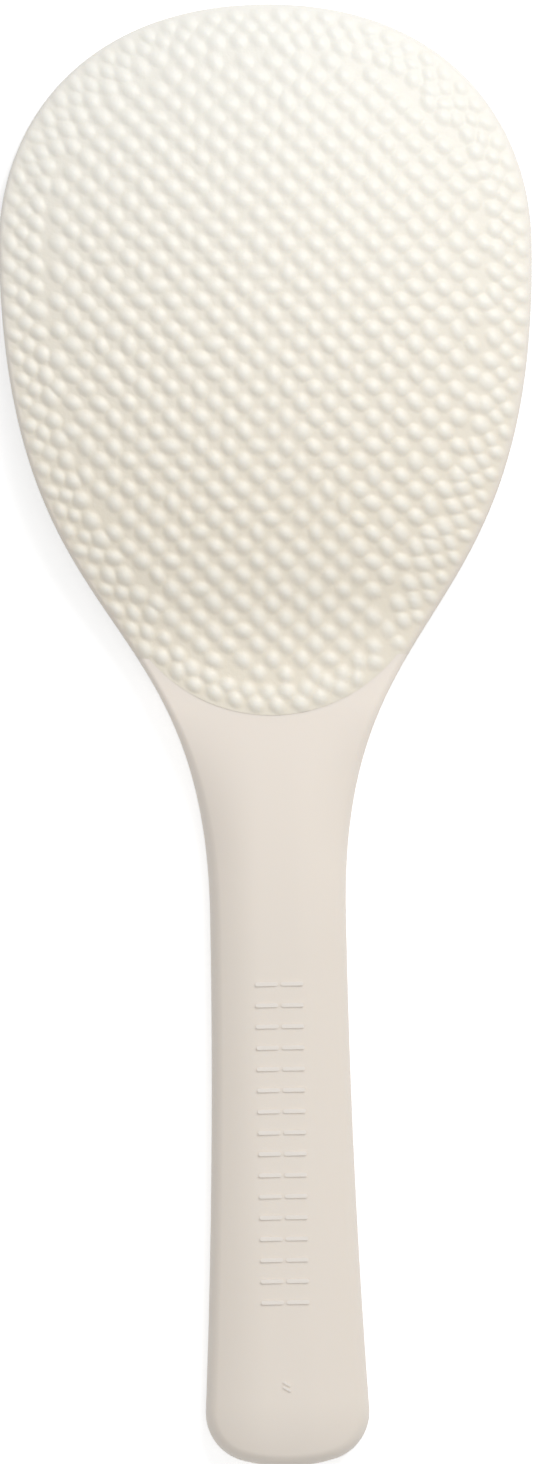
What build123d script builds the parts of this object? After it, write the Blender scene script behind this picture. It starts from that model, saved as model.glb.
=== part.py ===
from build123d import *
import os
from math import acos, asin, ceil, cos, degrees, hypot, radians, sin, sqrt, tan

# Rice paddle, one moulding, lying convex back up on a table.
# +Y runs to the blade's tip, +Z up. The origin is on the table under the middle of the length.

# Plan of the paddle
overall_length = 200.0
blade_width = 72.8
widest_from_tip = 33.0  # where the blade is at full width
waist_width = 18.6
waist_from_tip = 124.5  # where the grip is narrowest
end_width = 22.9  # across the corners of the grip's end before they are rounded
end_bow = 3.1  # how far the end bulges past those corners
end_corner_radius = 6.8
tip_fullness_share = 0.69  # how square the tip's shoulders are
side_fullness_share = 0.50
flank_share = 0.60  # how far the blade's side runs straight before it turns in
neck_share = 0.49  # how far the waist reaches up into the neck

# Side view
blade_radius = 128.0  # of the domed back, the same along and across
crest_from_tip = 50.0  # the highest point of the back
blade_thickness = 1.9  # at the crest
tip_thickness = 1.4
grip_thickness = 6.2
bend_radius = 45.0  # of the hollow bend between the blade and the grip

# Rounded edges
rim_radius = 0.6
grip_top_radius = 2.2
grip_under_radius = 1.0
dish_edge_radius = 10.0  # where the dish meets the flat underside

# The texture stops at an arc across the neck
texture_end_from_tip = 97.3
texture_arc_radius = 22.0
texture_arc_width = 34.0

# Studs: a lattice turned by 45 degrees, and smaller studs in rows along the rim
stud_diameter = 2.3
stud_height = 0.5
stud_column_pitch = 3.93
stud_row_pitch = 1.98  # each row is shifted by half a column
rim_stud_diameter = 1.9
rim_stud_height = 0.45
rim_stud_pitch = 3.2
stud_seat_gap = 0.01  # keeps each stud a solid of its own on the face
rim_row_pitch = 1.6
rim_row_count = 3
rim_margin = 1.55  # from the outline to the centres of the first row
lattice_margin = 5.9  # from the outline to the nearest centres of the lattice
stud_gap = 0.05  # least gap between a stud of the lattice and one of the rim
lattice_turn = 1.1  # degrees that the lattice stands off the paddle's axis
lattice_shift_x = 0.6  # from the crest to the nearest stud
lattice_shift_y = -0.8
dish_edge_margin = 1.5  # from the dish's rear edge to the texture's end

# Raised marks on the grip
mark_height = 0.15
mark_column_gap = 3.5  # between the centre lines of the two columns
mark_length = 3.1  # across the column
mark_width = 0.55
mark_pitch = 2.9
mark_count = 16
marks_from_end = 22.5  # the nearest mark
mould_stroke_length = 1.2
mould_stroke_width = 0.3
mould_stroke_gap = 0.7
mould_stroke_turn = -30
mould_mark_from_end = 11.0

overrun = 5.0  # how far a cutting solid reaches past what it cuts
rim_steps = 400  # places along the outline where its reach is measured

# Places that follow from the sizes
tip_y = overall_length / 2
end_y = -overall_length / 2
widest_y = tip_y - widest_from_tip
waist_y = tip_y - waist_from_tip
end_corner_y = end_y + end_bow
crest_y = tip_y - crest_from_tip
half_blade, half_waist, half_end = blade_width / 2, waist_width / 2, end_width / 2
arc_y = tip_y - texture_end_from_tip
arc_centre_y = arc_y + texture_arc_radius
arc_half = texture_arc_width / 2
arc_end_y = arc_centre_y - sqrt(texture_arc_radius**2 - arc_half**2)

# Plan outline
with BuildSketch() as outline:
    with BuildLine():
        tip_curve = Bezier(
            (0, tip_y),
            (half_blade * tip_fullness_share, tip_y),
            (half_blade, widest_y + widest_from_tip * side_fullness_share),
            (half_blade, widest_y),
        )
        flank = Bezier(
            tip_curve @ 1,
            (half_blade, widest_y - (widest_y - waist_y) * flank_share),
            (half_waist, waist_y + (widest_y - waist_y) * neck_share),
            (half_waist, waist_y),
        )
        side = TangentArc(flank @ 1, (half_end, end_corner_y), tangent=(0, -1))
        TangentArc((0, end_y), side @ 1, tangent=(1, 0))
        mirror(about=Plane.YZ)
    make_face()
    corners = outline.vertices().sort_by(lambda v: abs(v.Y - end_corner_y))[:2]
    fillet(corners, radius=end_corner_radius)

# The dish's sphere is shifted to the tip, which thins the blade there
dish_radius = blade_radius - blade_thickness
dish_shift = (blade_thickness - tip_thickness) * blade_radius / crest_from_tip
dish_y = crest_y + dish_shift
# The blade stands on the tip's shoulders, where the outline reaches farthest from the dish's middle
rim_line = outline.sketch.face().outer_wire()
rim_walk = [rim_line @ (step / rim_steps) for step in range(rim_steps)]
tip_reach = max(hypot(spot.X, spot.Y - dish_y) for spot in rim_walk if spot.Y > widest_y)
# Rounding the lower edge there lifts it by this much, and the dome is set down by it
rim_slope = asin(tip_reach / dish_radius)
rim_lift = rim_radius * (1 / tan((radians(90) - rim_slope) / 2) - 1)
sphere_z = -sqrt(dish_radius**2 - tip_reach**2) - rim_lift
crest_z = sphere_z + blade_radius
# The bend starts at this slope, so that it ends level with the grip's top
bend_slope = acos(1 - (crest_z - grip_thickness) / (blade_radius + bend_radius))
bend_start_y = crest_y - blade_radius * sin(bend_slope)
bend_end_y = bend_start_y - bend_radius * sin(bend_slope)
bend_axis_z = grip_thickness + bend_radius
dish_end_y = dish_y - sqrt(dish_radius**2 - sphere_z**2)


def back_height(x, y):
    """Height of the back above the table, over the blade, the bend and the grip."""
    across = sqrt(blade_radius**2 - x**2)
    if y >= crest_y or hypot(y - crest_y, across) * cos(bend_slope) <= across:
        return sphere_z + sqrt(blade_radius**2 - x**2 - (y - crest_y) ** 2)
    if y <= bend_end_y:
        return grip_thickness - blade_radius + across
    reach = bend_radius + blade_radius - across
    return bend_axis_z - sqrt(reach**2 - (y - bend_end_y) ** 2)


def back_place(x, y):
    """Plane on the back, facing out of it."""
    step = stud_height
    slope_x = (back_height(x + step, y) - back_height(x - step, y)) / (2 * step)
    slope_y = (back_height(x, y + step) - back_height(x, y - step)) / (2 * step)
    return Plane(origin=(x, y, back_height(x, y)), z_dir=(-slope_x, -slope_y, 1))


def dish_place(x, y):
    """Plane on the hollow face, facing out of it."""
    rise = sqrt(dish_radius**2 - x**2 - (y - dish_y) ** 2)
    return Plane(origin=(x, y, sphere_z + rise), z_dir=(-x, dish_y - y, -rise))


# Region of the blade and its texture, with the arc across the neck
with BuildSketch() as blade_zone:
    with BuildLine():
        arc = ThreePointArc((-arc_half, arc_end_y), (0, arc_y), (arc_half, arc_end_y))
        Polyline(
            arc @ 1,
            (half_blade + overrun, arc_end_y),
            (half_blade + overrun, tip_y + overrun),
            (-half_blade - overrun, tip_y + overrun),
            (-half_blade - overrun, arc_end_y),
            arc @ 0,
        )
    make_face()

# Everything under the back: a ball, the hollow bend behind it and the grip's crown
with BuildPart() as under_back:
    with Locations((0, crest_y, sphere_z)):
        Sphere(blade_radius)
    with BuildSketch(Plane.XZ.offset(-bend_end_y)) as crown:
        crown_half = half_blade + overrun
        crown_edge_z = grip_thickness - blade_radius + sqrt(blade_radius**2 - crown_half**2)
        with BuildLine():
            top = ThreePointArc((-crown_half, crown_edge_z), (0, grip_thickness), (crown_half, crown_edge_z))
            Polyline(top @ 1, (crown_half, -overrun), (-crown_half, -overrun), top @ 0)
        make_face()
    revolve(
        crown.sketch,
        axis=Axis((0, bend_end_y, bend_axis_z), (1, 0, 0)),
        revolution_arc=degrees(bend_slope),
    )
    extrude(crown.sketch, amount=bend_end_y - end_y + overrun)


def rim_edges(piece):
    """Edges of a piece along the plan outline, but for those at the far end of its prism."""
    found = ShapeList()
    for edge in piece.edges():
        middle, heading = edge @ 0.5, edge % 0.5
        upright = abs(heading.Z) > hypot(heading.X, heading.Y)
        if upright or not -overrun / 2 < middle.Z < crest_z:
            continue
        if rim_line.distance_to(Vertex(middle.X, middle.Y, 0)) < rim_radius / 10:
            found.append(edge)
    return found


def body_under_back(radius):
    """The plan's prism up to the back, with the rim of the back rounded."""
    with BuildPart() as made:
        with BuildSketch(Plane.XY.offset(-overrun)):
            add(outline.sketch)
        extrude(amount=crest_z + 2 * overrun)
        add(under_back.part, mode=Mode.INTERSECT)
        fillet(rim_edges(made), radius=radius)
    return made.part


def body_over_dish(radius):
    """The plan's prism down to the dish and the flat underside, with their rim rounded."""
    with BuildPart() as made:
        with BuildSketch(Plane.XY.offset(-overrun)):
            add(outline.sketch)
        extrude(amount=crest_z + 2 * overrun)
        with Locations((0, dish_y, sphere_z)):
            Sphere(dish_radius, mode=Mode.SUBTRACT)
        with Locations((0, (dish_end_y + bend_start_y) / 2, 0)):
            Box(
                blade_width,
                overall_length,
                2 * overrun,
                align=(Align.CENTER, Align.MAX, Align.MAX),
                mode=Mode.SUBTRACT,
            )
        underside = made.faces().filter_by(Plane.XY).sort_by(Axis.Z)[0]
        dish_edge = underside.edges().sort_by(lambda e: e.center().Y)[-1]
        fillet(dish_edge, radius=dish_edge_radius)
        fillet(rim_edges(made), radius=radius)
    return made.part


# The blade, with a small round all along its rim
with BuildPart() as blade:
    with BuildSketch(Plane.XY.offset(-overrun)):
        add(blade_zone.sketch)
    extrude(amount=crest_z + 3 * overrun)
    add(body_under_back(rim_radius), mode=Mode.INTERSECT)
    add(body_over_dish(rim_radius), mode=Mode.INTERSECT)
blade.part.label = "blade"

# The grip and its shoulders, with fuller rounds
with BuildPart() as handle:
    add(body_under_back(grip_top_radius))
    add(body_over_dish(grip_under_radius), mode=Mode.INTERSECT)
    with BuildSketch(Plane.XY.offset(-overrun)):
        add(blade_zone.sketch)
    extrude(amount=crest_z + 3 * overrun, mode=Mode.SUBTRACT)
handle.part.label = "handle"


def stud(diameter, height, bulge):
    """A domed stud that stands on a sphere. bulge is the sphere's radius, below 0 inside one."""
    edge = diameter / 2
    fall = bulge - sqrt(bulge**2 - edge**2) if bulge > 0 else bulge + sqrt(bulge**2 - edge**2)
    with BuildPart() as made:
        with BuildSketch(Plane.XZ):
            with BuildLine():
                Line((0, stud_seat_gap), (0, height))
                TangentArc((0, height), (edge, stud_seat_gap - fall), tangent=(1, 0))
                TangentArc((0, stud_seat_gap), (edge, stud_seat_gap - fall), tangent=(1, 0))
            make_face()
        revolve(axis=Axis.Z)
    return made.part


def lattice_points(zone, rim):
    """Centres of the lattice that lie on the zone's face, clear of the studs along its rim."""
    spacing = (stud_diameter + rim_stud_diameter) / 2 + stud_gap
    turn = radians(lattice_turn)
    columns = ceil(blade_width / stud_column_pitch)
    rows = ceil(overall_length / 2 / stud_row_pitch)
    found = []
    for row in range(-rows, rows + 1):
        for column in range(-columns, columns + 1):
            across = (column + (row % 2) / 2) * stud_column_pitch + lattice_shift_x
            along = row * stud_row_pitch + lattice_shift_y
            # The lattice is even along the dome, so it closes up where the dome falls away
            x = blade_radius * sin((across * cos(turn) + along * sin(turn)) / blade_radius)
            y = crest_y + blade_radius * sin((along * cos(turn) - across * sin(turn)) / blade_radius)
            clear = all(hypot(x - a, y - b) > spacing for a, b in rim)
            if clear and zone.is_inside((x, y, 0)):
                found.append((x, y))
    return found


def rim_points(zone):
    """Centres of the rows along the zone's edge, each row staggered against the one before."""
    line = zone.outer_wire()
    count = round(line.length / rim_stud_pitch)
    found = []
    # The line may run either way round the zone
    start, ahead = line @ 0, line % 0
    nudge = rim_margin / 2
    inward = 1 if zone.is_inside((start.X - ahead.Y * nudge, start.Y + ahead.X * nudge, 0)) else -1
    for row in range(rim_row_count):
        depth = rim_margin + row * rim_row_pitch
        for step in range(count):
            share = (step + (row % 2) / 2) / count
            spot, heading = line @ share, line % share
            x, y = spot.X - heading.Y * depth * inward, spot.Y + heading.X * depth * inward
            # Near a corner a row would cross itself or another
            clear = all(hypot(x - a, y - b) > rim_stud_diameter for a, b in found)
            if clear and line.distance_to(Vertex(x, y, 0)) > depth - stud_seat_gap:
                found.append((x, y))
    return found


def inset_lattice(zone, rim):
    """Centres of the lattice inside the rows."""
    with BuildSketch() as middle:
        offset(zone, amount=-lattice_margin)
    return lattice_points(middle.sketch.face(), rim)


# Where the studs of each face go
with BuildSketch() as back_zone:
    add(outline.sketch)
    add(blade_zone.sketch, mode=Mode.INTERSECT)
back_rim = rim_points(back_zone.sketch.face())
back_lattice = inset_lattice(back_zone.sketch.face(), back_rim)
with BuildSketch() as dish_zone:
    add(outline.sketch)
    with Locations((0, dish_y)):
        Circle(dish_y - dish_end_y - dish_edge_margin, mode=Mode.INTERSECT)
front_rim = rim_points(dish_zone.sketch.face())
front_lattice = inset_lattice(dish_zone.sketch.face(), front_rim)

lattice_back_stud = stud(stud_diameter, stud_height, blade_radius)
rim_back_stud = stud(rim_stud_diameter, rim_stud_height, blade_radius)
lattice_front_stud = stud(stud_diameter, stud_height, -dish_radius)
rim_front_stud = stud(rim_stud_diameter, rim_stud_height, -dish_radius)
back_studs = [lattice_back_stud.moved(back_place(x, y).location) for x, y in back_lattice]
back_studs += [rim_back_stud.moved(back_place(x, y).location) for x, y in back_rim]
front_studs = [lattice_front_stud.moved(dish_place(x, y).location) for x, y in front_lattice]
front_studs += [rim_front_stud.moved(dish_place(x, y).location) for x, y in front_rim]

with BuildPart() as back_pips:
    add(back_studs, mode=Mode.REPLACE)
back_pips.part.label = "back_pips"

with BuildPart() as front_pips:
    add(front_studs, mode=Mode.REPLACE)
front_pips.part.label = "front_pips"

# Raised marks on the grip, in two columns
with BuildPart() as grip_marks:
    with BuildSketch(Plane.XY.offset(grip_thickness - mark_height)):
        for x in (-mark_column_gap / 2, mark_column_gap / 2):
            for step in range(mark_count):
                with Locations((x, end_y + marks_from_end + step * mark_pitch)):
                    SlotOverall(mark_length, mark_width)
    extrude(amount=2 * mark_height)
    add(handle.part, mode=Mode.SUBTRACT)
grip_marks.part.label = "grip_marks"

# Two tiny strokes near the end
with BuildPart() as mould_mark:
    with BuildSketch(Plane.XY.offset(grip_thickness - mark_height)):
        for way in (-1, 1):
            with Locations((0, end_y + mould_mark_from_end + way * mould_stroke_gap / 2)):
                SlotOverall(mould_stroke_length, mould_stroke_width, rotation=mould_stroke_turn)
    extrude(amount=2 * mark_height)
    add(handle.part, mode=Mode.SUBTRACT)
mould_mark.part.label = "mould_mark"

os.makedirs("parts", exist_ok=True)
for piece in (blade, handle, back_pips, front_pips, grip_marks, mould_mark):
    export_step(piece.part, f"parts/{piece.part.label}.step")
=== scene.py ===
"""Looks, light and camera for a moulded plastic rice paddle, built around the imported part.

The blade and the grip get fine skins that follow the CAD solids: one even grid for each, shared by
its back and its underside, with the studs raised out of the surface instead of standing on it.
Lengths are in millimetres inside the shape classes and in metres in Blender.
"""

import logging
from dataclasses import dataclass, field, replace
from enum import Enum
from functools import cached_property
from math import cos, pi, radians, sin, sqrt
from typing import Optional, Sequence, Union

import bpy
import numpy as np
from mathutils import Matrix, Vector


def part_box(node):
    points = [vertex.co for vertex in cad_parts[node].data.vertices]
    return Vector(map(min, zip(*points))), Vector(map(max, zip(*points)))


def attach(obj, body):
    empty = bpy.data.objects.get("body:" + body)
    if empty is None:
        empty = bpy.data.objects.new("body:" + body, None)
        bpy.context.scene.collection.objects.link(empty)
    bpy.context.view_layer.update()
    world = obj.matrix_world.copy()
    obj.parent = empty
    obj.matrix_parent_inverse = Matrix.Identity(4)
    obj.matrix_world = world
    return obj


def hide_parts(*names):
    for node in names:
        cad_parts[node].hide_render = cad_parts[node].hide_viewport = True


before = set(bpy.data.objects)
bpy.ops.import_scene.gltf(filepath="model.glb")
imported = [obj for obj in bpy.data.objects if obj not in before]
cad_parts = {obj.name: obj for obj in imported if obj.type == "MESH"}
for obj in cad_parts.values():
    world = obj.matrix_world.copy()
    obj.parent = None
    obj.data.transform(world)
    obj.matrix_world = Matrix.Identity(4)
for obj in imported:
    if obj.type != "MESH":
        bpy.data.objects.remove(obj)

LOG = logging.getLogger("paddle")
MM = 0.001
Points = np.ndarray
Color = tuple[float, float, float]

# Factors that mirror points from one side of the paddle to the other
MIRROR = np.array([-1.0, 1.0])

# Point attributes of the skins: how far up a stud a point lies, which weighs the painted highlight on stud
# tops and the painted shade between studs, and how close to the plain rim
PAINTED_STUD_LIGHT = "stud_top_painted_light"
PLAIN = "plain_rim"

# Places of sockets on shader nodes whose names repeat
OBJECT_COORDS = 3
ATTRIBUTE_VALUE = 2
MIX_SHARE, MIX_FIRST, MIX_SECOND, MIX_RESULT = 0, 6, 7, 2

# Spans of the outline from which depths are measured, and points measured at a time
DEPTH_SPANS = 1600
DEPTH_POINTS = 3000


class Face(Enum):
    """The two faces of the moulding."""

    BACK = 1
    UNDER = -1


def cubic(points: Sequence[Sequence[float]], steps: int) -> Points:
    """Sample a cubic Bezier curve.

    Args:
        points: Its four control points.
        steps: The number of spans.

    Returns:
        An array of steps + 1 points.
    """
    t = np.linspace(0, 1, steps + 1)[:, None]
    a, b, c, d = (np.array(p, float) for p in points)
    return (1 - t) ** 3 * a + 3 * (1 - t) ** 2 * t * b + 3 * (1 - t) * t**2 * c + t**3 * d


def arc_between(start: Points, end: Points, heading: Points, steps: int) -> Points:
    """Sample the arc that leaves start along heading and reaches end.

    Args:
        start: The arc's first point.
        end: Its last point.
        heading: Its direction at the start.
        steps: The number of spans.

    Returns:
        An array of steps + 1 points.
    """
    heading = heading / np.linalg.norm(heading)
    side = np.array([-heading[1], heading[0]])
    chord = end - start
    radius = chord @ chord / (2 * (chord @ side))
    centre = start + side * radius
    turn = 2 * np.arctan2(chord @ side, chord @ heading)
    angle = np.linspace(0, turn, steps + 1)[:, None]
    spoke = start - centre
    across = np.array([-spoke[1], spoke[0]])
    return centre + spoke * np.cos(angle) + across * np.sin(angle)


def resample(path: Points, count: int) -> Points:
    """Space a path's points evenly.

    Args:
        path: The points of an open path.
        count: The number of spans to make.

    Returns:
        An array of count + 1 points.
    """
    return walk_path(path, np.linspace(0, 1, count + 1))


def walk_path(path: Points, shares: Points) -> Points:
    """Find the points at given shares of a path's length.

    Args:
        path: The points of an open path.
        shares: The shares of its length, from 0 to 1.

    Returns:
        An array of one point for each share.
    """
    walked = np.r_[0, np.cumsum(np.hypot(*np.diff(path, axis=0).T))]
    return np.stack([np.interp(shares * walked[-1], walked, path[:, k]) for k in (0, 1)], axis=1)


def ease(share: Points) -> Points:
    """Turn a straight run from 0 to 1 into one with soft ends."""
    return share**2 * (3 - 2 * share)


@dataclass(frozen=True)
class PaddleForm:
    """Plan and side view of the paddle, in millimetres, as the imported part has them."""

    length: float
    width: float
    widest_from_tip: float = 33.0
    waist_width: float = 18.6
    waist_from_tip: float = 124.5
    end_width: float = 22.9
    end_bow: float = 3.1
    end_corner_radius: float = 6.8
    tip_fullness_share: float = 0.69
    side_fullness_share: float = 0.50
    flank_share: float = 0.60
    neck_share: float = 0.49
    dome_radius: float = 128.0
    crest_from_tip: float = 50.0
    blade_thickness: float = 1.9
    tip_thickness: float = 1.4
    grip_thickness: float = 6.2
    bend_radius: float = 45.0
    rim_radius: float = 0.6
    grip_top_radius: float = 1.6
    grip_under_radius: float = 1.0
    dish_edge_radius: float = 10.0
    arc_from_tip: float = 97.3
    arc_radius: float = 22.0
    arc_width: float = 34.0
    end_drop: float = 1.5
    end_drop_length: float = 9.0
    crown_flat: float = 2.4
    crown_radius: float = 12.0
    crown_start_y: float = 4.0
    crown_fade: float = 22.0
    crown_end_share: float = 0.45
    outline_steps: int = 900

    @property
    def tip_y(self) -> float:
        """Y of the tip."""
        return self.length / 2

    @property
    def crest_y(self) -> float:
        """Y of the dome's highest point."""
        return self.tip_y - self.crest_from_tip

    @property
    def dish_radius(self) -> float:
        """Radius of the hollow face."""
        return self.dome_radius - self.blade_thickness

    @property
    def dish_y(self) -> float:
        """Y of the hollow sphere's centre, shifted to the tip."""
        thinning = self.blade_thickness - self.tip_thickness
        return self.crest_y + thinning * self.dome_radius / self.crest_from_tip

    @property
    def arc_centre_y(self) -> float:
        """Y of the centre of the arc across the neck."""
        return self.tip_y - self.arc_from_tip + self.arc_radius

    @property
    def arc_end_y(self) -> float:
        """Y of both ends of the arc across the neck."""
        return self.arc_centre_y - sqrt(self.arc_radius**2 - (self.arc_width / 2) ** 2)

    @cached_property
    def sphere_z(self) -> float:
        """Z of both spheres' centres, where the rounded tip just touches the table."""
        outline = self.outline()
        tip = outline[outline[:, 1] > self.tip_y - self.widest_from_tip]
        reach = np.hypot(tip[:, 0], tip[:, 1] - self.dish_y).max()
        slope = np.arcsin(reach / self.dish_radius)
        lift = self.rim_radius * (1 / np.tan((pi / 2 - slope) / 2) - 1)
        return float(-sqrt(self.dish_radius**2 - reach**2) - lift)

    def half_outline(self) -> Points:
        """Right half of the outline, from the tip to the end."""
        half, waist = self.width / 2, self.waist_width / 2
        widest_y = self.tip_y - self.widest_from_tip
        waist_y = self.tip_y - self.waist_from_tip
        run = widest_y - waist_y
        side_y = widest_y + self.widest_from_tip * self.side_fullness_share
        tip = cubic(
            [
                (0, self.tip_y),
                (half * self.tip_fullness_share, self.tip_y),
                (half, side_y),
                (half, widest_y),
            ],
            self.outline_steps,
        )
        flank = cubic(
            [
                (half, widest_y),
                (half, widest_y - run * self.flank_share),
                (waist, waist_y + run * self.neck_share),
                (waist, waist_y),
            ],
            self.outline_steps,
        )
        corner = np.array([self.end_width / 2, -self.tip_y + self.end_bow])
        side = arc_between(flank[-1], corner, np.array([0.0, -1.0]), self.outline_steps)
        end = arc_between(np.array([0.0, -self.tip_y]), corner, np.array([1.0, 0.0]), self.outline_steps)
        return self._rounded_corner(np.vstack([tip, flank[1:]]), side[1:], end[::-1])

    def _rounded_corner(self, upper: Points, side: Points, end: Points) -> Points:
        """Join the side to the end with an arc that touches both.

        Args:
            upper: The outline down to the waist.
            side: The side from the waist to the unrounded corner.
            end: The end from that corner to the middle.

        Returns:
            The whole half outline.
        """
        radius = self.end_corner_radius
        side_in = side + self._normals(side) * radius
        end_in = end + self._normals(end) * radius
        gap = np.hypot(side_in[:, None, 0] - end_in[None, :, 0], side_in[:, None, 1] - end_in[None, :, 1])
        i, j = np.unravel_index(np.argmin(gap), gap.shape)
        corner = arc_between(side[i], end[j], side[i] - side[i - 1], self.outline_steps)
        return np.vstack([upper, side[: i + 1], corner[1:-1], end[j:]])

    @staticmethod
    def _normals(path: Points) -> Points:
        """Unit normals to the right of a path's heading."""
        heading = np.gradient(path, axis=0)
        heading /= np.linalg.norm(heading, axis=1)[:, None]
        return np.stack([heading[:, 1], -heading[:, 0]], axis=1)

    def outline(self) -> Points:
        """The whole outline, closed, clockwise from the tip."""
        right = self.half_outline()
        left = right[::-1] * MIRROR
        return np.vstack([right, left[1:]])

    def parting(self, steps: int) -> Points:
        """The line across the neck, from the right edge of the outline to the left.

        Args:
            steps: The number of spans.

        Returns:
            An array of steps + 1 points.
        """
        right = self.half_outline()
        below = right[:, 1] < self.crest_y
        edge_x = np.interp(-self.arc_end_y, -right[below, 1], right[below, 0])
        angle = np.arcsin(self.arc_width / 2 / self.arc_radius)
        turn = np.linspace(angle, -angle, self.outline_steps)
        arc = np.stack(
            [self.arc_radius * np.sin(turn), self.arc_centre_y - self.arc_radius * np.cos(turn)], axis=1
        )
        ends = np.array([[edge_x, self.arc_end_y]])
        return resample(np.vstack([ends, arc, ends * MIRROR]), steps)

    def back(self, x: Points, y: Points) -> Points:
        """Height of the plain back: the dome, the hollow bend behind it and the grip's crown.

        Args:
            x: Places across the paddle.
            y: Places along it.

        Returns:
            The height at each place.
        """
        sphere_z = self.sphere_z
        crest_z = sphere_z + self.dome_radius
        slope = np.arccos(1 - (crest_z - self.grip_thickness) / (self.dome_radius + self.bend_radius))
        bend_start = self.crest_y - self.dome_radius * np.sin(slope)
        bend_end = bend_start - self.bend_radius * np.sin(slope)
        across = np.sqrt(self.dome_radius**2 - x**2)
        dome = sphere_z + np.sqrt(np.maximum(self.dome_radius**2 - x**2 - (y - self.crest_y) ** 2, 0))
        reach = self.bend_radius + self.dome_radius - across
        bend_z = self.grip_thickness + self.bend_radius
        bend = bend_z - np.sqrt(np.maximum(reach**2 - (y - bend_end) ** 2, 0))
        crown = self.grip_thickness - self.dome_radius + across
        on_dome = (y >= self.crest_y) | (np.hypot(y - self.crest_y, across) * np.cos(slope) <= across)
        return np.where(on_dome, dome, np.where(y <= bend_end, crown, bend))

    def under(self, x: Points, y: Points) -> Points:
        """Height of the plain underside: the dish and the grip's flat, with a round between them.

        Args:
            x: Places across the paddle.
            y: Places along it.

        Returns:
            The height at each place.
        """
        dish = self.sphere_z + np.sqrt(np.maximum(self.dish_radius**2 - x**2 - (y - self.dish_y) ** 2, 0))
        edge = self.dish_y - self.dish_reach()
        near = y < (edge + self.crest_y) / 2
        flat = np.where(near, 0.0, dish)
        # A soft round of the edge between the two, the higher of which counts
        blend = self.dish_edge_radius * (self.crest_y - edge) ** 2 / self.dish_radius**2 / 2
        meet = np.maximum(blend - np.abs(dish - flat), 0) / blend
        return np.where(near, np.maximum(dish, flat) + meet**2 * blend / 4, dish)

    def rounding(self, y: Points, face: Face) -> Points:
        """Radius of the rounded edge, which grows from the blade to the grip."""
        grown = self.grip_top_radius if face is Face.BACK else self.grip_under_radius
        share = np.clip((self.crest_y / 2 - y) / self.crest_y, 0, 1)
        return self.rim_radius + (grown - self.rim_radius) * ease(share)

    def crowning(self, x: Points, y: Points) -> Points:
        """How far the grip's sides fall beside its flat middle, less towards the end."""
        aside = np.maximum(np.abs(x) - self.crown_flat, 0)
        near = ease(np.clip((self.crown_start_y - y) / self.crown_fade, 0, 1))
        to_end = np.clip((self.crown_start_y - y) / (self.tip_y + self.crown_start_y), 0, 1)
        flatter = 1 - (1 - self.crown_end_share) * to_end**2
        return near * flatter * aside**2 / (2 * self.crown_radius)

    def dish_reach(self) -> float:
        """Radius of the circle at which the dish meets the flat underside."""
        return sqrt(self.dish_radius**2 - self.sphere_z**2)

    def end_fall(self, y: Points) -> Points:
        """How far the back of the grip falls towards its end."""
        share = np.clip((self.end_drop_length - self.tip_y - y) / self.end_drop_length, 0, 1)
        return self.end_drop * share**2


@dataclass(frozen=True)
class StudForm:
    """One kind of stud, in millimetres."""

    radius: float
    height: float
    size_spread_share: float
    place_spread: float


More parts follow.
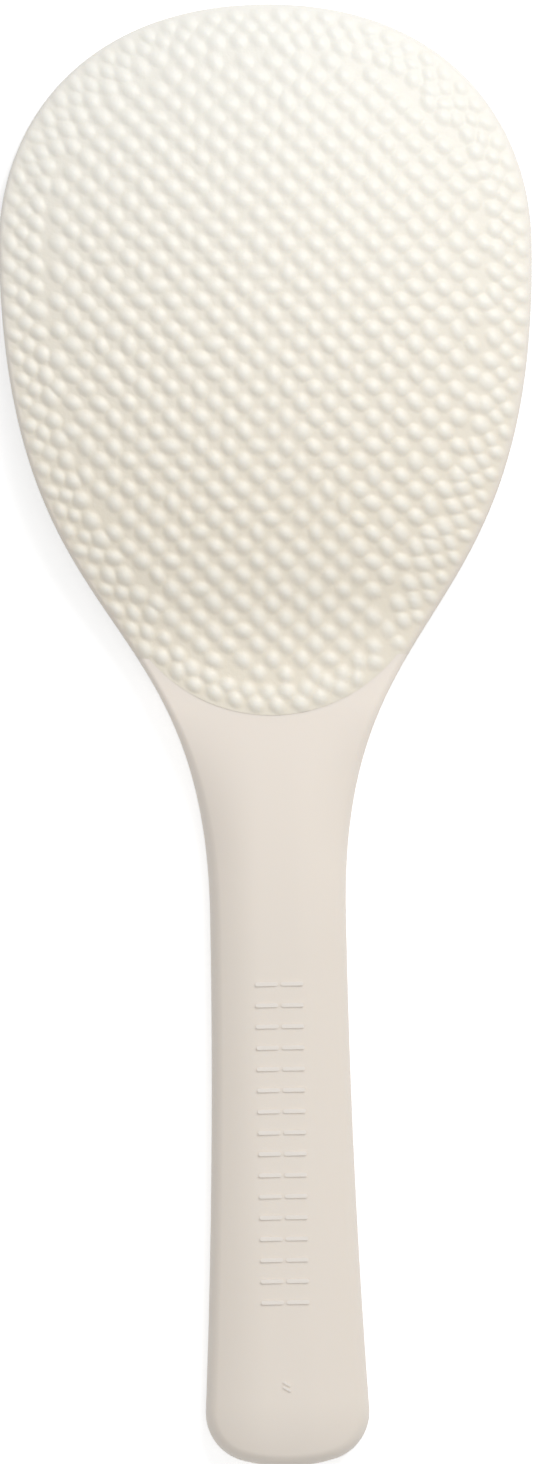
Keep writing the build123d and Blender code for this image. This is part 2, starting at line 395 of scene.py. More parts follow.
@dataclass
class StudField:
    """The studs of one face: rows along the rim and a lattice inside them."""

    form: PaddleForm
    face: Face
    seed: int
    lattice: StudForm = StudForm(radius=1.38, height=0.46, size_spread_share=0.09, place_spread=0.08)
    rim: StudForm = StudForm(radius=1.16, height=0.38, size_spread_share=0.12, place_spread=0.10)
    column_pitch: float = 3.93
    row_pitch: float = 1.98
    shift_x: float = 0.6
    shift_y: float = -0.8
    turn: float = radians(1.1)
    rim_count: int = 86
    rim_start: float = 0.5
    rim_depths: Sequence[float] = (1.5, 3.1, 4.8)
    neck_rows: int = 2
    small_depth: float = 3.9
    lattice_margin: float = 3.9
    lattice_spacing: float = 1.65
    lattice_count: int = 60
    lattice_reach: float = pi / 4
    least_depth_share: float = 0.96
    least_gap_share: float = 1.7
    dish_edge_margin: float = 1.5
    gap_step: float = 0.6
    gap_room: float = 2.3
    fullness: float = 2.0
    softness: float = 1.55
    least_stretch: float = 1.12
    heading: float = -pi / 4
    heading_spread: float = 0.2
    tip_fall_share: float = 0.25
    tip_fall_start: float = 55.0
    centres: Points = field(init=False)
    sizes: Points = field(init=False)

    def __post_init__(self) -> None:
        """Place all the studs."""
        rng = np.random.default_rng(self.seed)
        border = self._border()
        rows = self._rows(border)
        grid = self._lattice(border)
        apart = np.hypot(grid[:, None, 0] - rows[:, 0], grid[:, None, 1] - rows[:, 1]).min(axis=1)
        grid = grid[apart > self.lattice_spacing]
        self.centres = np.vstack([self._jitter(rng, rows, self.rim), self._jitter(rng, grid, self.lattice)])
        small, large = (
            self._draw_sizes(rng, kind, len(rows) + len(grid)) for kind in (self.rim, self.lattice)
        )
        depth = np.array([np.hypot(*(border - spot).T).min() for spot in self.centres])
        is_small = (depth < self.small_depth) & ~self._at_neck(self.centres)
        self.sizes = np.where(is_small[:, None], small, large)
        extra = self._gap_studs(border)
        self.centres = np.vstack([self.centres, extra])
        self.sizes = np.vstack([self.sizes, self._draw_sizes(rng, self.rim, len(extra))])
        counts = (len(rows), len(grid), len(extra))
        LOG.info("%s: %d rim studs, %d lattice studs, %d between", self.face.name, *counts)

    def _border(self) -> Points:
        """The textured zone's border, from the tip down the left side and round."""
        outline = self.form.outline()[:0:-1]
        neck = self.form.parting(self.form.outline_steps)[::-1]
        left = outline[(outline[:, 0] <= 0) & (outline[:, 1] > self.form.arc_end_y)]
        right = outline[(outline[:, 0] > 0) & (outline[:, 1] > self.form.arc_end_y)]
        border = np.vstack([left, neck, right, left[:1]])
        if self.face is Face.BACK:
            return border
        # Inside the dish the zone ends at a circle, onto which what lies farther out is drawn in
        centre = np.array([0.0, self.form.dish_y])
        radius = self.form.dish_reach() - self.dish_edge_margin
        spoke = border - centre
        share = np.minimum(radius / np.hypot(*spoke.T), 1)
        return centre + spoke * share[:, None]

    def _rows(self, border: Points) -> Points:
        """Centres of the rim's rows, each staggered against the one before.

        Args:
            border: The zone's closed border.

        Returns:
            The centres.
        """
        walked = np.r_[0, np.cumsum(np.hypot(*np.diff(border, axis=0).T))]
        pitch = walked[-1] / self.rim_count
        found: list[Points] = []
        for row, depth in enumerate(self.rim_depths):
            for step in range(self.rim_count):
                place = (step + (row % 2) / 2) * pitch + self.rim_start
                spot, ahead = (
                    np.array([np.interp(at % walked[-1], walked, border[:, k]) for k in (0, 1)])
                    for at in (place, place + pitch / 4)
                )
                heading = (ahead - spot) / np.linalg.norm(ahead - spot)
                centre = spot + depth * np.array([-heading[1], heading[0]])
                deep = np.hypot(*(border - centre).T).min() > self.least_depth_share * depth
                least_gap = self.least_gap_share * self.rim.radius
                clear = all(np.hypot(*(centre - other)) > least_gap for other in found)
                if deep and clear and (row < self.neck_rows or not self._at_neck(centre)):
                    found.append(centre)
        return np.array(found)

    def _at_neck(self, spots: Points) -> np.ndarray:
        """Tell which spots lie by the arc across the neck."""
        form, x, y = self.form, spots[..., 0], spots[..., 1]
        return (np.abs(x) < form.arc_width / 2) & (y < form.arc_centre_y - form.arc_radius / 2)

    def _lattice(self, border: Points) -> Points:
        """Centres of the lattice, even along the dome.

        Args:
            border: The zone's closed border.

        Returns:
            The centres that lie deeper than the margin.
        """
        count = self.lattice_count
        row, column = np.mgrid[-count : count + 1, -count : count + 1]
        across = (column + (row % 2) / 2) * self.column_pitch + self.shift_x
        along = row * self.row_pitch + self.shift_y
        radius = self.form.dome_radius
        u = (across * cos(self.turn) + along * sin(self.turn)) / radius
        v = (along * cos(self.turn) - across * sin(self.turn)) / radius
        near = (np.abs(u) < self.lattice_reach) & (np.abs(v) < self.lattice_reach)
        spots = np.stack([radius * np.sin(u[near]), self.form.crest_y + radius * np.sin(v[near])], axis=1)
        spots = spots[inside_loop(spots, border)]
        depth = np.array([np.hypot(*(border - spot).T).min() for spot in spots])
        return spots[depth > self.lattice_margin]

    def _gap_studs(self, border: Points) -> Points:
        """Centres of small studs in the gaps that the rows and the lattice leave.

        Args:
            border: The zone's closed border.

        Returns:
            The centres, the widest gap's first.
        """
        low, high = border.min(axis=0), border.max(axis=0)
        x, y = np.meshgrid(*(np.arange(low[k], high[k], self.gap_step) for k in (0, 1)))
        spots = np.stack([x.ravel(), y.ravel()], axis=1)
        spots = spots[inside_loop(spots, border)]
        away_x, away_y = (spots[:, None, k] - self.centres[:, k] for k in (0, 1))
        room = np.hypot(away_x, away_y).min(axis=1)
        spots, room = spots[room > self.gap_room], room[room > self.gap_room]
        deep = np.array([np.hypot(*(border - spot).T).min() > self.rim_depths[0] for spot in spots])
        spots, room = spots[deep], room[deep]
        found: list[Points] = []
        while len(room) and room.max() > self.gap_room:
            found.append(spots[int(np.argmax(room))])
            room = np.minimum(room, np.hypot(*(spots - found[-1]).T))
        return np.array(found).reshape(-1, 2)

    @staticmethod
    def _jitter(rng: np.random.Generator, spots: Points, kind: StudForm) -> Points:
        """Move each centre a little."""
        return spots + rng.normal(0, kind.place_spread, spots.shape)

    def _draw_sizes(self, rng: np.random.Generator, kind: StudForm, count: int) -> Points:
        """Radius, height, stretch and its heading for each stud."""
        spread = kind.size_spread_share
        radius = kind.radius * (1 + rng.normal(0, spread / 2, count).clip(-spread, spread))
        height = kind.height * (1 + rng.normal(0, spread, count).clip(-2 * spread, 0))
        stretch = self.least_stretch + rng.uniform(0, 2 * spread, count)
        heading = rng.normal(self.heading, self.heading_spread, count)
        return np.stack([radius, height, stretch, heading], axis=1)

    def rise(self, x: Points, y: Points) -> tuple[Points, Points]:
        """Height of the studs over the plain surface. They get lower towards the tip.

        Args:
            x: Places across the paddle.
            y: Places along it.

        Returns:
            The height at each place, and its share of the stud's own height, which weighs the painted
            highlight on the studs' tops.
        """
        rise, painted_stud_light = np.zeros_like(x), np.zeros_like(x)
        run = self.form.tip_y - self.tip_fall_start
        lowered = 1 - self.tip_fall_share * np.clip((self.centres[:, 1] - self.tip_fall_start) / run, 0, 1)
        order = np.argsort(y)
        sorted_y = y[order]
        for (cx, cy), size, low_share in zip(self.centres, self.sizes, lowered):
            radius, height, stretch, heading = size
            reach = radius * stretch
            low, high = np.searchsorted(sorted_y, [cy - reach, cy + reach])
            near = order[low:high]
            near = near[np.abs(x[near] - cx) < reach]
            dx, dy = x[near] - cx, y[near] - cy
            along = dx * cos(heading) + dy * sin(heading)
            aside = dy * cos(heading) - dx * sin(heading)
            share = np.minimum(np.hypot(along / stretch, aside * sqrt(stretch)) / radius, 1)
            bump = (1 - share**self.fullness) ** self.softness
            rise[near] = np.maximum(rise[near], bump * height * low_share)
            painted_stud_light[near] = np.maximum(painted_stud_light[near], bump)
        return rise, painted_stud_light


def inside_loop(spots: Points, loop: Points) -> np.ndarray:
    """Tell which spots a closed loop goes round.

    Args:
        spots: The places to test.
        loop: The loop's points, the last one joining the first.

    Returns:
        True for each spot inside.
    """
    x, y = spots[:, 0, None], spots[:, 1, None]
    x0, y0 = loop[:, 0], loop[:, 1]
    x1, y1 = np.roll(x0, -1), np.roll(y0, -1)
    crosses = (y0 > y) != (y1 > y)
    rise = np.where(y1 == y0, 1, y1 - y0)
    return (crosses & (x < (x1 - x0) * (y - y0) / rise + x0)).sum(axis=1) % 2 == 1


@dataclass
class Grid:
    """Grid of rows over one part's plan. Rows go up in y, and columns up in x."""

    form: PaddleForm
    rows: int = field(init=False)
    columns: int = field(init=False)
    x: Points = field(init=False)
    y: Points = field(init=False)
    depth: Points = field(init=False)

    def keep(self, place: Points) -> None:
        """Keep the grid's points and measure how deep they lie.

        Args:
            place: The points by row and column.
        """
        self.rows, self.columns = place.shape[:2]
        self.x, self.y = place[..., 0].ravel(), place[..., 1].ravel()
        self.depth = self._depths()

    def _depths(self) -> Points:
        """Distance of each point from the whole paddle's outline."""
        outline = resample(self.form.outline(), DEPTH_SPANS)
        start, end = outline[:-1], outline[1:]
        run = end - start
        square = (run**2).sum(axis=1)
        depth = np.empty(self.x.shape)
        for some in np.array_split(np.arange(len(depth)), len(depth) // DEPTH_POINTS + 1):
            dx = self.x[some, None] - start[:, 0]
            dy = self.y[some, None] - start[:, 1]
            along = np.clip((dx * run[:, 0] + dy * run[:, 1]) / square, 0, 1)
            gap = (dx - along * run[:, 0]) ** 2 + (dy - along * run[:, 1]) ** 2
            depth[some] = np.sqrt(gap.min(axis=1))
        return depth

    def quads(self) -> np.ndarray:
        """Faces of the grid, seen from above."""
        row, column = np.mgrid[0 : self.rows - 1, 0 : self.columns - 1]
        a = (row * self.columns + column).ravel()
        return np.stack([a, a + 1, a + self.columns + 1, a + self.columns], axis=1)

    def rim(self) -> np.ndarray:
        """Indexes of the grid's border, counter-clockwise."""
        index = np.arange(self.rows * self.columns).reshape(self.rows, self.columns)
        sides = (index[0, :-1], index[:-1, -1], index[-1, :0:-1], index[:0:-1, 0])
        return np.concatenate(sides)


@dataclass
class StarGrid(Grid):
    """Grid of square rings that grow from the blade's middle to its border."""

    rings: int = 170
    band_rings: int = 9
    neck_steps: int = 160
    band_share: float = 1.05
    corner_band_share: float = 0.35
    corner_band: float = 0.01

    def __post_init__(self) -> None:
        """Lay out the grid's points."""
        border, normal = self._border()
        side = 2 * self.rings + 1
        row, column = np.mgrid[0:side, 0:side] - self.rings
        ring = np.maximum(np.abs(row), np.abs(column))
        step = self._around(row, column, ring) * len(border)
        base = np.floor(step).astype(int) % len(border)
        after = (base + 1) % len(border)
        share = (step - np.floor(step))[..., None]
        edge = border[base] * (1 - share) + border[after] * share
        inward = normal[base] * (1 - share) + normal[after] * share
        width = self._band_width(edge)[..., None]
        inner = self.rings - self.band_rings
        turn = ((self.rings - ring) / self.band_rings * pi / 2)[..., None]
        band = edge + inward * width * (1 - np.cos(turn))
        middle = np.array([0.0, self.form.crest_y])
        star = middle + (edge + inward * width - middle) * (ring / inner)[..., None]
        self.keep(np.where((ring > inner)[..., None], band, star))

    def _border(self) -> tuple[Points, Points]:
        """Border of the blade, counter-clockwise from the neck's right, with inward normals."""
        outline = self.form.outline()[:-1]
        neck = self.form.parting(self.neck_steps)
        above = outline[:, 1] > self.form.arc_end_y
        right = outline[above & (outline[:, 0] >= 0)][::-1]
        left = outline[above & (outline[:, 0] < 0)][::-1]
        rim = np.vstack([neck[:1], right, left, neck[-1:]])
        rim = resample(rim, 8 * self.rings - self.neck_steps)
        border = np.vstack([rim[:-1], neck[::-1][:-1]])
        heading = np.roll(border, -1, axis=0) - np.roll(border, 1, axis=0)
        heading /= np.linalg.norm(heading, axis=1)[:, None]
        return border, np.stack([-heading[:, 1], heading[:, 0]], axis=1)

    def _band_width(self, edge: Points) -> Points:
        """Width of the finely divided band along the border, which closes up at the corners."""
        corner = self.form.parting(2)[0]
        away = np.hypot(np.abs(edge[..., 0]) - corner[0], edge[..., 1] - corner[1])
        full = self.form.rounding(edge[..., 1], Face.BACK) * self.band_share
        return np.minimum(full, self.corner_band_share * away + self.corner_band)

    @staticmethod
    def _around(row: np.ndarray, column: np.ndarray, ring: np.ndarray) -> Points:
        """Share of the way round its square ring at which each grid point lies."""
        safe = np.maximum(ring, 1)
        a, b = column / safe, row / safe
        east = (ring > 0) & (column == ring) & (row > -ring)
        north = (ring > 0) & (row == ring) & ~east
        west = (ring > 0) & (column == -ring) & ~north
        sides = [(b + 1) / 8, (1 - a) / 8 + 0.25, (1 - b) / 8 + 0.5]
        return np.select([east, north, west], sides, (a + 1) / 8 + 0.75) % 1.0


@dataclass
class LadderGrid(Grid):
    """Grid of rungs across the grip, finest along its border."""

    across_steps: int = 130
    along_steps: int = 280

    def __post_init__(self) -> None:
        """Lay out the grid's points."""
        s = (1 - np.cos(np.linspace(0, pi, self.across_steps + 1))) / 2
        t = (1 - np.cos(np.linspace(0, pi, self.along_steps + 1))) / 2
        right, end = self._side_and_end()
        neck = self.form.parting(self.form.outline_steps)[::-1]
        bottom, top = walk_path(end, s), walk_path(neck, s)
        side = walk_path(right, t)
        s, t = s[None, :, None], t[:, None, None]
        rungs = (1 - t) * bottom[None] + t * top[None]
        rails = (1 - s) * (side * MIRROR)[:, None] + s * side[:, None]
        low = (1 - s) * bottom[0] + s * bottom[-1]
        high = (1 - s) * top[0] + s * top[-1]
        self.keep(rungs + rails - (1 - t) * low - t * high)

    def _side_and_end(self) -> tuple[Points, Points]:
        """The grip's right side, upwards, and its end, left to right, parted at the corner."""
        half = self.form.half_outline()
        below = half[half[:, 1] < self.form.arc_end_y]
        heading = np.gradient(below, axis=0)
        turned = (below[:, 1] < -self.form.tip_y / 2) & (-heading[:, 0] > -heading[:, 1])
        corner = int(np.argmax(turned))
        side = np.vstack([below[: corner + 1][::-1], self.form.parting(2)[:1]])
        lower = below[corner:]
        end = np.vstack([lower * MIRROR, lower[::-1][1:]])
        return side, end


@dataclass
class Skin:
    """Closed mesh of one part: its back, its underside and the wall between them."""

    name: str
    grid: Grid
    back_studs: Optional[StudField] = None
    under_studs: Optional[StudField] = None
    neck_drop: float = 0.07
    neck_fade: float = 5.0
    neck_fade_side: float = 8.0
    plain_band: float = 1.2

    def _face(self, face: Face) -> tuple[Points, Points]:
        """Height of one face over the whole grid, and how much each point lies on a stud's top, which
        weighs the painted highlight there.
        """
        grid, form = self.grid, self.grid.form
        plain = form.back(grid.x, grid.y) if face is Face.BACK else form.under(grid.x, grid.y)
        if isinstance(grid, LadderGrid) and face is Face.BACK:
            plain = plain - form.end_fall(grid.y) - form.crowning(grid.x, grid.y) - self._neck_fall()
        studs = self.back_studs if face is Face.BACK else self.under_studs
        painted_stud_light = np.zeros_like(grid.x)
        if studs is not None:
            rise, painted_stud_light = studs.rise(grid.x, grid.y)
            plain = plain + face.value * rise
        radius = form.rounding(grid.y, face)
        out = np.clip(radius - grid.depth, 0, radius)
        fall = radius - np.sqrt(radius**2 - out**2)
        return np.maximum(plain - face.value * fall, 0), painted_stud_light

    def _neck_fall(self) -> Points:
        """How far the smooth neck lies under the textured zone, next to the arc."""
        grid, form = self.grid, self.grid.form
        away = np.hypot(grid.x, grid.y - form.arc_centre_y) - form.arc_radius
        side = np.clip((form.arc_width / 2 - np.abs(grid.x)) / self.neck_fade_side, 0, 1)
        near = np.exp(-((np.maximum(away, 0) / self.neck_fade) ** 2))
        return self.neck_drop * ease(side) * near

    def build(self) -> bpy.types.Object:
        """Make the mesh object.

        Returns:
            The object, linked to the scene.
        """
        grid = self.grid
        (top, top_painted_stud_light), (bottom, bottom_painted_stud_light) = self._face(Face.BACK), self._face(Face.UNDER)
        upper = np.stack([grid.x, grid.y, top], axis=1)
        lower = np.stack([grid.x, grid.y, bottom], axis=1)
        quads, rim, count = grid.quads(), grid.rim(), len(grid.x)
        middle = 2 * count + np.arange(len(rim))
        faces = [quads, quads[:, ::-1] + count]
        for high, low in ((rim, middle), (middle, rim + count)):
            faces.append(np.stack([high, low, np.roll(low, -1), np.roll(high, -1)], axis=1))
        vertices = np.vstack([upper, lower, (upper[rim] + lower[rim]) / 2]) * MM
        plain = np.clip(1 - grid.depth / self.plain_band, 0, 1)
        beyond = np.hypot(grid.x, grid.y - grid.form.dish_y) - grid.form.dish_reach()
        plain_under = np.clip(np.maximum(plain, 1 + beyond / self.plain_band), 0, 1)
        shares = {
            PAINTED_STUD_LIGHT: np.concatenate([top_painted_stud_light, bottom_painted_stud_light, top_painted_stud_light[rim]]),
            PLAIN: np.concatenate([plain, plain_under, plain[rim]]),
        }
        return self._object(vertices, np.vstack(faces), shares)

    def _object(self, vertices: Points, faces: np.ndarray, shares: dict[str, Points]) -> bpy.types.Object:
        """Turn arrays into a smooth mesh object that carries the named shares as attributes."""
        mesh = bpy.data.meshes.new(self.name)
        mesh.vertices.add(len(vertices))
        mesh.vertices.foreach_set("co", vertices.ravel())
        mesh.loops.add(faces.size)
        mesh.loops.foreach_set("vertex_index", faces.ravel())
        mesh.polygons.add(len(faces))
        mesh.polygons.foreach_set("loop_start", np.arange(0, faces.size, 4))
        mesh.polygons.foreach_set("use_smooth", np.ones(len(faces), bool))
        mesh.update(calc_edges=True)
        for name, values in shares.items():
            mesh.attributes.new(name, "FLOAT", "POINT").data.foreach_set("value", values)
        made = bpy.data.objects.new(self.name, mesh)
        bpy.context.scene.collection.objects.link(made)
        LOG.info("%s: %d vertices, %d faces", self.name, len(vertices), len(faces))
        return made


Value = Union[float, "Socket"]


class Socket:
    """A shader output that can be added, multiplied and so on."""

    def __init__(self, tree: "NodeTree", output: bpy.types.NodeSocket) -> None:
        """Keep the tree and the output."""
        self.tree = tree
        self.output = output

    def _math(self, operation: str, *values: Value) -> "Socket":
        """Put one math node on the tree."""
        return self.tree.node("ShaderNodeMath", {"operation": operation}, dict(enumerate(values)))[0]

    def __add__(self, other: Value) -> "Socket":
        """Add."""
        return self._math("ADD", self, other)

    __radd__ = __add__

    def __mul__(self, other: Value) -> "Socket":
        """Multiply."""
        return self._math("MULTIPLY", self, other)

    __rmul__ = __mul__

    def __sub__(self, other: Value) -> "Socket":
        """Subtract."""
        return self._math("SUBTRACT", self, other)

    def __rsub__(self, other: Value) -> "Socket":
        """Subtract from a value."""
        return self._math("SUBTRACT", other, self)


class NodeTree:
    """A material's or world's nodes."""

    def __init__(self, tree: bpy.types.NodeTree) -> None:
        """Start with an empty tree."""
        self.tree = tree
        tree.nodes.clear()

    def node(
        self, kind: str, settings: Optional[dict] = None, inputs: Optional[dict] = None
    ) -> list[Socket]:
        """Add a node.

        Args:
            kind: The node's type name.
            settings: Its properties.
            inputs: Values or sockets by input name or index.

        Returns:
            The node's outputs.
        """
        made = self.tree.nodes.new(kind)
        for name, value in (settings or {}).items():
            setattr(made, name, value)
        for name, value in (inputs or {}).items():
            if isinstance(value, Socket):
                self.tree.links.new(value.output, made.inputs[name])
            else:
                made.inputs[name].default_value = value
        return [Socket(self, output) for output in made.outputs]


@dataclass(frozen=True)
class PlasticFinish:
    """Off-white moulded plastic with painted light: a painted highlight on the tops of its studs, painted
    shade in the darker ground between them, and a painted sheen that makes it paler towards the tip.

    The rim's color shows where the skin's plain attribute is 1, and the pale one, painted light, from the
    start of its run onward.
    """

    name: str
    color: Color
    shade: Color
    # Colour of the studs' tops, paler than the ground: a painted highlight on the tops and painted shade
    # between the studs
    painted_stud_light: Color
    rim: Color
    # Paler tone laid on towards the tip: painted light, a painted sheen on the studded blade
    pale: Color
    roughness: float
    roughness_spread: float
    grain_scale: float
    grain_strength: float
    cloud_scale: float = 45.0
    painted_light_start: float = 30.0 * MM
    painted_light_run: float = 90.0 * MM
    sheen_through: float = 0.12
    through_radius: tuple[float, float, float] = (1.0, 0.85, 0.65)
    through_scale: float = 0.0016
    ior: float = 1.49
    noise_detail: float = 3.0

    def make(self) -> bpy.types.Material:
        """Build the material.

        Returns:
            The material.
        """
        material = bpy.data.materials.new(self.name)
        material.use_nodes = True
        tree = NodeTree(material.node_tree)
        place = tree.node("ShaderNodeTexCoord")[OBJECT_COORDS]
        grain = self._noise(tree, place, self.grain_scale)
        bump = tree.node(
            "ShaderNodeBump",
            inputs={"Strength": 1.0, "Distance": self.grain_strength, "Height": grain},
        )[0]
        shader = tree.node(
            "ShaderNodeBsdfPrincipled",
            inputs={
                "Base Color": self._tint(tree, place),
                "Roughness": self.roughness + self.roughness_spread * (grain - 0.5),
                "Normal": bump,
                "IOR": self.ior,
                "Subsurface Weight": self.sheen_through,
                "Subsurface Radius": self.through_radius,
                "Subsurface Scale": self.through_scale,
            },
        )[0]
        tree.node("ShaderNodeOutputMaterial", inputs={"Surface": shader})
        return material

    def _tint(self, tree: NodeTree, place: Socket) -> Socket:
        """Color of the plastic at each place."""
        clouds = self._noise(tree, place, self.cloud_scale)
        ground = self._mix(tree, clouds, self.color, self.shade)
        # Painted highlight on the studs' tops and painted shade between them, weighed by how far up a stud
        # each point lies
        raised = tree.node("ShaderNodeAttribute", {"attribute_name": PAINTED_STUD_LIGHT})[ATTRIBUTE_VALUE]
        studded = self._mix(tree, raised, ground, self.painted_stud_light)
        plain = tree.node("ShaderNodeAttribute", {"attribute_name": PLAIN})[ATTRIBUTE_VALUE]
        whole = self._mix(tree, plain, studded, self.rim)
        # Painted light: a paler tone that grows towards the tip from the start of its run
        along = tree.node("ShaderNodeSeparateXYZ", inputs={0: place})[1]
        run = (along - self.painted_light_start) * (1 / self.painted_light_run)
        painted_light_share = tree.node("ShaderNodeClamp", inputs={"Value": run})[0]
        return self._mix(tree, painted_light_share, whole, self.pale)

    def _noise(self, tree: NodeTree, place: Socket, scale: float) -> Socket:
        """Fine noise over the surface."""
        inputs = {"Vector": place, "Scale": scale, "Detail": self.noise_detail}
        return tree.node("ShaderNodeTexNoise", inputs=inputs)[0]

    @staticmethod
    def _mix(tree: NodeTree, share: Socket, first: Union[Color, Socket], second: Color) -> Socket:
        """Blend two colors."""
        start = first if isinstance(first, Socket) else (*first, 1.0)
        inputs = {MIX_SHARE: share, MIX_FIRST: start, MIX_SECOND: (*second, 1.0)}
        return tree.node("ShaderNodeMix", {"data_type": "RGBA"}, inputs)[MIX_RESULT]


@dataclass
class Paddle:
    """The dressed paddle."""

    form: PaddleForm
    textured: PlasticFinish
    smooth: PlasticFinish
    # Finish of the raised marks, lighter than the grip: a painted highlight
    mark_with_painted_highlight: PlasticFinish
    rings: int = 170
    quick_share: float = 0.6

    def build(self) -> None:
        """Make the skins, and give every remaining node its material."""
        textured, smooth, mark_with_painted_highlight = self.textured.make(), self.smooth.make(), self.mark_with_painted_highlight.make()
        share = 1.0
        blade = Skin(
            "blade_skin",
            StarGrid(self.form, rings=int(self.rings * share)),
            StudField(self.form, Face.BACK, seed=3),
            StudField(self.form, Face.UNDER, seed=5),
        ).build()
        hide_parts("blade", "back_pips", "front_pips")
        grip = Skin("grip_skin", LadderGrid(self.form)).build()
        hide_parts("handle")
        for piece, material in ((blade, textured), (grip, smooth)):
            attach(piece, "root")
            piece.data.materials.append(material)
        finishes = dict.fromkeys(("blade", "back_pips", "front_pips"), textured) | {"handle": smooth}
        for name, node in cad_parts.items():
            node.data.materials.clear()
            node.data.materials.append(finishes.get(name, mark_with_painted_highlight))
            LOG.info("%s: material set", name)


@dataclass(frozen=True)
class Softbox:
    """An area lamp that faces the paddle."""

    name: str
    place: tuple[float, float, float]
    size: float
    power: float

    def build(self) -> None:
        """Put the lamp in the scene."""
        lamp = bpy.data.lights.new(self.name, "AREA")
        lamp.shape = "SQUARE"
        lamp.size = self.size
        lamp.energy = self.power
        made = bpy.data.objects.new(self.name, lamp)
        made.location = self.place
        aim = -made.location
        made.rotation_euler = aim.to_track_quat("-Z", "Y").to_euler()
        bpy.context.scene.collection.objects.link(made)
        LOG.info("%s: lamp", self.name)


@dataclass(frozen=True)
class Studio:
    """Floor, light and world."""

    lamps: Sequence[Softbox]
    fill: float
    floor_size: float = 6.0
    floor_shade: float = 0.82
    floor_glow: float = 0.5
    floor_gap: float = 0.1 * MM

    def build(self) -> None:
        """Make the floor, the lamps and the world."""
        self._floor()
        for lamp in self.lamps:
            lamp.build()
        world = bpy.data.worlds.new("studio_world")
        world.use_nodes = True
        tree = NodeTree(world.node_tree)
        seen = self._seen(tree)
        soft = tree.node("ShaderNodeBackground", inputs={"Color": (1, 1, 1, 1), "Strength": self.fill})[0]
        white = tree.node("ShaderNodeBackground", inputs={"Color": (1, 1, 1, 1), "Strength": 1.0})[0]
        mixed = tree.node("ShaderNodeMixShader", inputs={0: seen, 1: soft, 2: white})[0]
        tree.node("ShaderNodeOutputWorld", inputs={"Surface": mixed})
        bpy.context.scene.world = world

    @staticmethod
    def _seen(tree: NodeTree) -> Socket:
        """1 for rays that show the background: camera, glossy and transmission rays."""
        path = tree.node("ShaderNodeLightPath")
        by_name = {ray.output.name: ray for ray in path}
        seen = by_name["Is Camera Ray"] + by_name["Is Glossy Ray"] + by_name["Is Transmission Ray"]
        return tree.node("ShaderNodeClamp", inputs={"Value": seen})[0]

    def _floor(self) -> None:
        """A pale floor, seen as white where no shadow falls and a little grey in the paddle's own."""
        half = self.floor_size / 2
        mesh = bpy.data.meshes.new("floor")
        low = -self.floor_gap
        corners = [(x * half, y * half, low) for x, y in ((-1, -1), (1, -1), (1, 1), (-1, 1))]
        mesh.from_pydata(corners, [], [(0, 1, 2, 3)])
        floor = bpy.data.objects.new("floor", mesh)
        bpy.context.scene.collection.objects.link(floor)
        material = bpy.data.materials.new("floor_paper")
        material.use_nodes = True
        tree = NodeTree(material.node_tree)
        shade = (*(self.floor_shade,) * 3, 1)
        paper = tree.node("ShaderNodeBsdfDiffuse", inputs={"Color": shade})[0]
        lit = {"Color": (1, 1, 1, 1), "Strength": self.floor_glow}
        glow = tree.node("ShaderNodeEmission", inputs=lit)[0]
        both = tree.node("ShaderNodeAddShader", inputs={0: paper, 1: glow})[0]
        mixed = tree.node("ShaderNodeMixShader", inputs={0: self._seen(tree), 1: paper, 2: both})[0]
        tree.node("ShaderNodeOutputMaterial", inputs={"Surface": mixed})
        mesh.materials.append(material)
        LOG.info("floor: %.1f m square", self.floor_size)


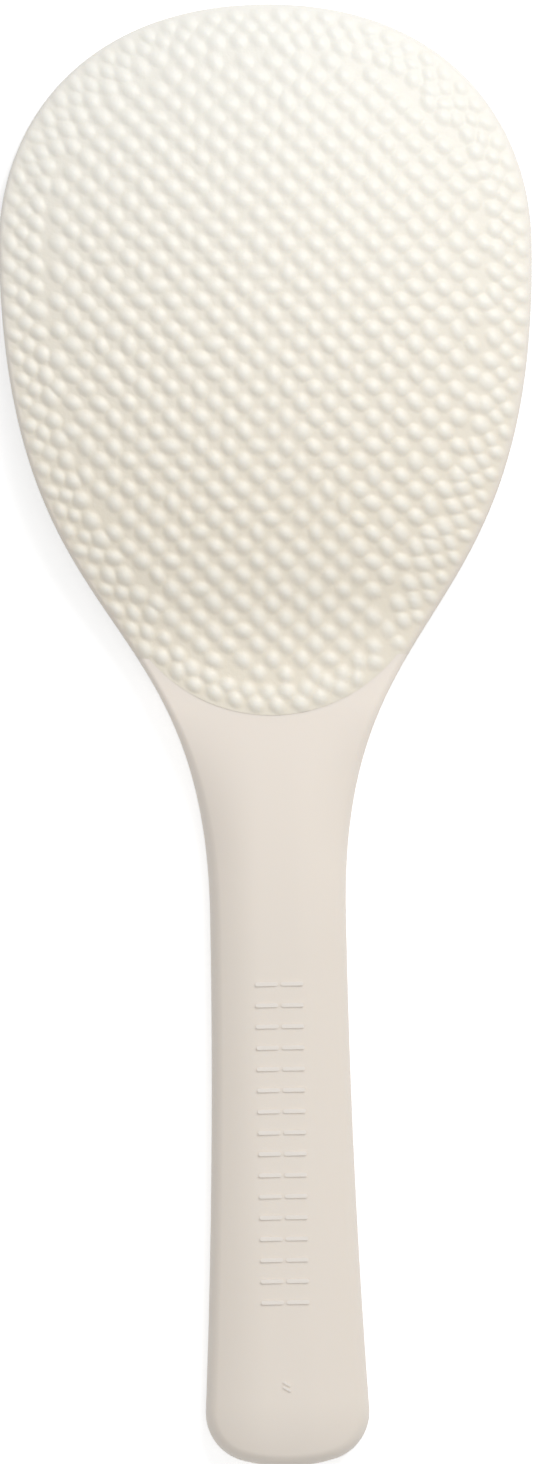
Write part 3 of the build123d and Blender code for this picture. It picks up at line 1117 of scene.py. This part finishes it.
@dataclass(frozen=True)
class OverheadCamera:
    """Camera straight above the paddle, turned a little in its plane."""

    aim_x: float = -1.1 * MM
    aim_y: float = 0.42 * MM
    turn: float = radians(-1.10)
    height: float = 2.5
    view_height: float = 200.41 * MM
    sensor: float = 36.0
    clip_end: float = 10.0

    def build(self) -> None:
        """Create the camera and make it the scene's."""
        camera = bpy.data.cameras.new("overhead")
        camera.sensor_fit = "VERTICAL"
        camera.sensor_height = self.sensor
        camera.lens = self.sensor * self.height / self.view_height
        camera.clip_end = self.clip_end
        made = bpy.data.objects.new("overhead", camera)
        made.location = (self.aim_x, self.aim_y, self.height)
        made.rotation_euler = (0, 0, self.turn)
        bpy.context.scene.collection.objects.link(made)
        bpy.context.scene.camera = made


def main() -> None:
    """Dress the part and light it."""
    logging.basicConfig(level=logging.INFO)
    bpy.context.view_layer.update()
    low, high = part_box("blade")
    form = PaddleForm(length=2 * (high[1] / MM), width=(high[0] - low[0]) / MM)
    textured = PlasticFinish(
        "studded_plastic",
        color=(0.835, 0.775, 0.66),
        shade=(0.815, 0.75, 0.625),
        # Studs' tops: painted highlight, with painted shade in the ground between them
        painted_stud_light=(0.895, 0.86, 0.775),
        rim=(0.805, 0.738, 0.662),
        # Painted sheen that whitens the blade towards the tip
        pale=(0.87, 0.865, 0.82),
        roughness=0.46,
        roughness_spread=0.10,
        grain_scale=1800.0,
        grain_strength=0.00004,
    )
    smooth = PlasticFinish(
        "smooth_plastic",
        color=(0.805, 0.738, 0.662),
        shade=(0.79, 0.72, 0.64),
        painted_stud_light=(0.895, 0.86, 0.775),
        rim=(0.805, 0.738, 0.662),
        # Painted light: the grip gets paler towards the neck, where more light falls
        pale=(0.86, 0.785, 0.705),
        painted_light_start=-30.0 * MM,
        painted_light_run=36.0 * MM,
        roughness=0.42,
        roughness_spread=0.06,
        grain_scale=1400.0,
        grain_strength=0.000004,
    )
    # Lighter than the smooth plastic: a painted highlight on the raised marks
    mark_with_painted_highlight = replace(
        smooth,
        name="mark_plastic_painted_highlight",
        color=(0.86, 0.80, 0.73),
        shade=(0.85, 0.785, 0.71),
    )
    Paddle(form, textured, smooth, mark_with_painted_highlight).build()
    Studio(
        lamps=(
            Softbox("key", place=(0.48, 0.75, 0.78), size=0.65, power=8.1),
            Softbox("top_fill", place=(-0.1, -0.3, 1.4), size=1.2, power=4.8),
        ),
        fill=0.385,
    ).build()
    OverheadCamera().build()
    bpy.context.scene.view_settings.view_transform = "Standard"


if __name__ == "__main__":
    main()
